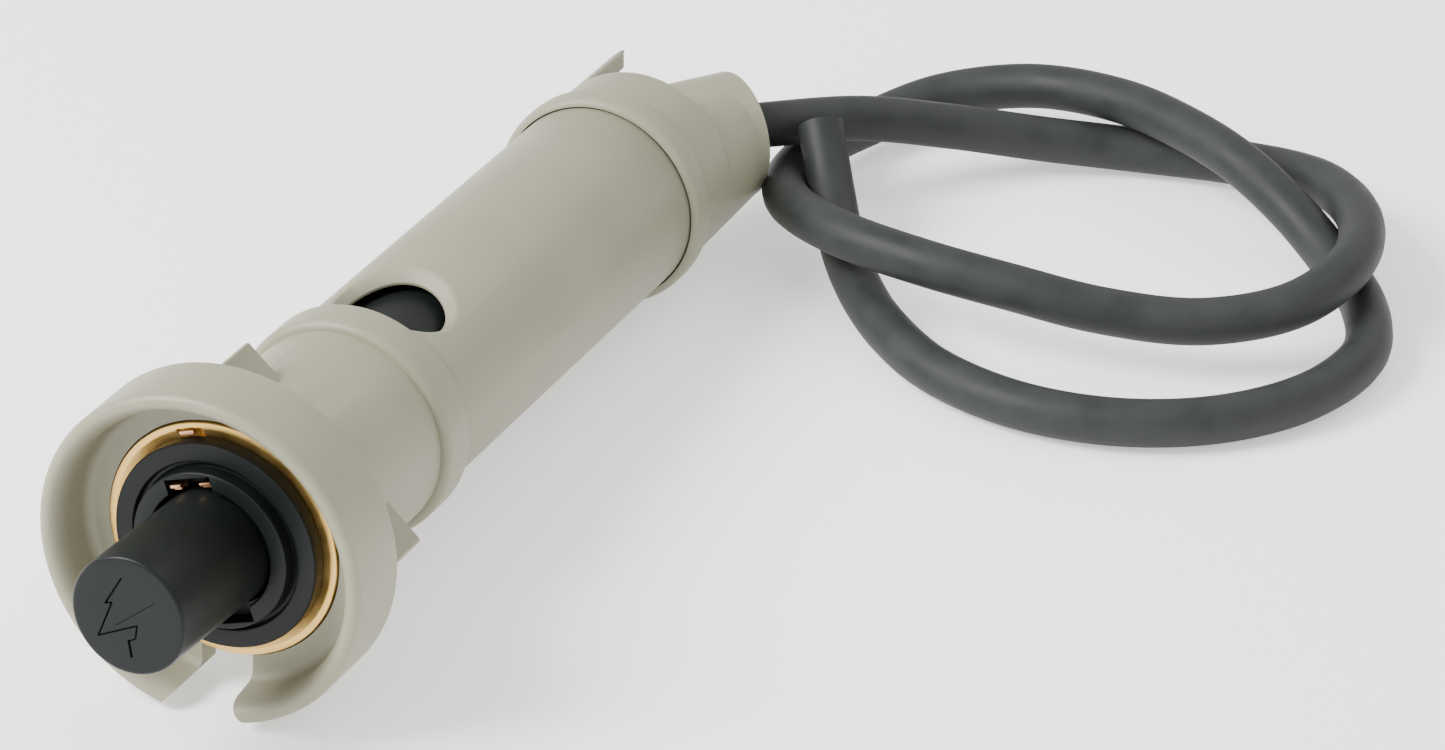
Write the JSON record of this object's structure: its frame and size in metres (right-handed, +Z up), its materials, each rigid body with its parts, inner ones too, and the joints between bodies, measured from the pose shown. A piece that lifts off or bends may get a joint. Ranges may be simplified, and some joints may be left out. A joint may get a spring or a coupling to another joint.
{
  "type": "impact igniter with high-voltage lead",
  "caption": "Push-button impact igniter in a hooded moulded housing, with a brass seat ring, a viewing window, a side spout and a coiled high-voltage lead.",
  "frame": {"origin": "on the floor, under the middle of the housing, measured without the free lead", "axes": "+Z up from the floor, +Y from the button towards the rear, +X towards the side the cable spout points to; the housing axis drops 3.3 degrees to the rear, as it rests"},
  "size_m": [0.1377, 0.2187, 0.0473],
  "materials": {
    "housing_plastic": "fine satin moulded surface, warm pebble grey",
    "black_plastic": "slate black moulded plastic, satin",
    "black_rubber": "matte black rubber",
    "cable_rubber": "matte charcoal cable jacket with faint mottling",
    "brass": "turned brass, lightly tarnished",
    "copper": "stamped copper alloy",
    "steel": "plain drawn steel",
    "crystal_ceramic": "fired ceramic",
    "sleeve_plastic": "natural insulating plastic"
  },
  "bodies": {
    "housing": {"front_housing": "housing_plastic", "body_tube": "housing_plastic", "rear_elbow": "housing_plastic", "spout_grommet": "black_rubber", "brass_ring": "brass", "ring_key": "copper", "igniter_barrel": "black_plastic", "contact_clip_left": "copper", "contact_clip_right": "copper", "anvil_cap": "steel", "piezo_crystal_front": "crystal_ceramic", "mid_electrode": "brass", "piezo_crystal_rear": "crystal_ceramic", "rear_electrode": "brass", "crystal_sleeve": "sleeve_plastic", "ht_contact_spring": "brass", "igniter_end_cap": "black_plastic", "ht_terminal_pin": "brass", "cable_terminal": "black_rubber", "ht_lead_inner": "cable_rubber", "return_spring": "steel", "ignition_cable": "cable_rubber"},
    "plunger": {"plunger_button": "black_plastic", "hammer_spring": "steel"},
    "striker": {"hammer": "steel", "trip_pin": "steel"}
  },
  "joints": [
    {"name": "button_press", "type": "slide", "parent": "housing", "child": "plunger", "axis": [0, 0.9984, -0.0574], "range_m": [0, 0.009], "stiffness_N_per_m": 900, "springref_m": -0.012, "deforming": ["return_spring", "hammer_spring"]},
    {"name": "hammer_strike", "type": "slide", "parent": "housing", "child": "striker", "axis": [0, 0.9984, -0.0574], "range_m": [0, 0.0024], "stiffness_N_per_m": 2500, "springref_m": -0.001}
  ]
}
